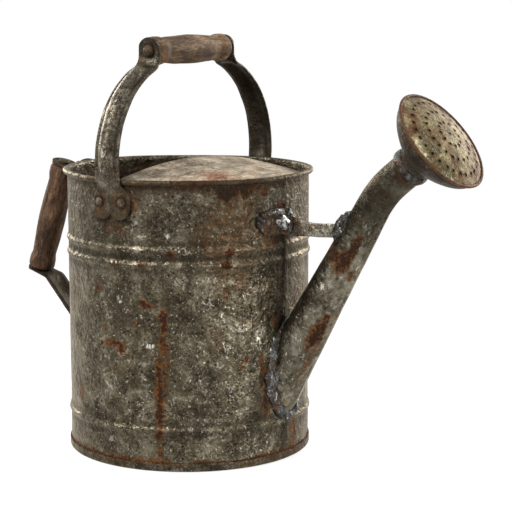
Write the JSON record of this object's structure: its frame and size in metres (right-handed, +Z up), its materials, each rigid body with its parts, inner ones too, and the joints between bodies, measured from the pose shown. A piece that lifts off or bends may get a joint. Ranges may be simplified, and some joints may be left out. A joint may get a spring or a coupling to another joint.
{
  "type": "watering can",
  "caption": "Old galvanised watering can with a wired rim, half cover, riveted bail and rear handle with turning wooden grips, braced tapered spout and a domed sprinkling rose.",
  "frame": {"origin": "middle of the flat underside", "axes": "+Z up, +X from the rear handle toward the spout, +Y along the top grip"},
  "size_m": [0.4853, 0.242, 0.3755],
  "materials": {
    "zinc_sheet": "weathered galvanised sheet, mottled grey-brown, with rust runs and pale scuffs",
    "worn_cover": "pale oxidised zinc with dark streaks",
    "dark_steel": "dark, lightly rusted steel",
    "weld_metal": "lumpy blue-grey weld",
    "old_wood": "weathered turned wood with open grain",
    "rose_metal": "tarnished olive-gold metal with a rusted rim"
  },
  "bodies": {
    "can": {"body_shell": "zinc_sheet", "bottom_pan": "zinc_sheet", "rim_wire": "dark_steel", "splash_cover": "worn_cover", "bail_leg_front": "zinc_sheet", "bail_leg_back": "zinc_sheet", "rear_upper_strap": "zinc_sheet", "rear_lower_strap": "zinc_sheet", "bail_rivet_1": "dark_steel", "bail_rivet_2": "dark_steel", "bail_rivet_3": "dark_steel", "bail_rivet_4": "dark_steel", "rear_rivet_1": "dark_steel", "rear_rivet_2": "dark_steel", "rear_rivet_3": "dark_steel", "rear_rivet_4": "dark_steel", "top_grip_rod": "dark_steel", "rear_grip_rod": "dark_steel", "spout_tube": "zinc_sheet", "spout_weld": "weld_metal", "spout_brace": "zinc_sheet", "brace_weld_body": "weld_metal", "brace_weld_spout": "weld_metal", "rose_cone": "rose_metal", "rose_face": "rose_metal", "neck_weld": "weld_metal"},
    "top_grip": {"top_grip": "old_wood"},
    "rear_grip": {"rear_grip": "old_wood"}
  },
  "joints": [
    {"name": "top_grip_turn", "type": "hinge", "parent": "can", "child": "top_grip", "pos_m": [0, 0, 0.3625], "axis": [0, 1, 0], "continuous": true},
    {"name": "rear_grip_turn", "type": "hinge", "parent": "can", "child": "rear_grip", "pos_m": [-0.166, 0, 0.197], "axis": [0.299, 0, 0.9542], "continuous": true}
  ]
}
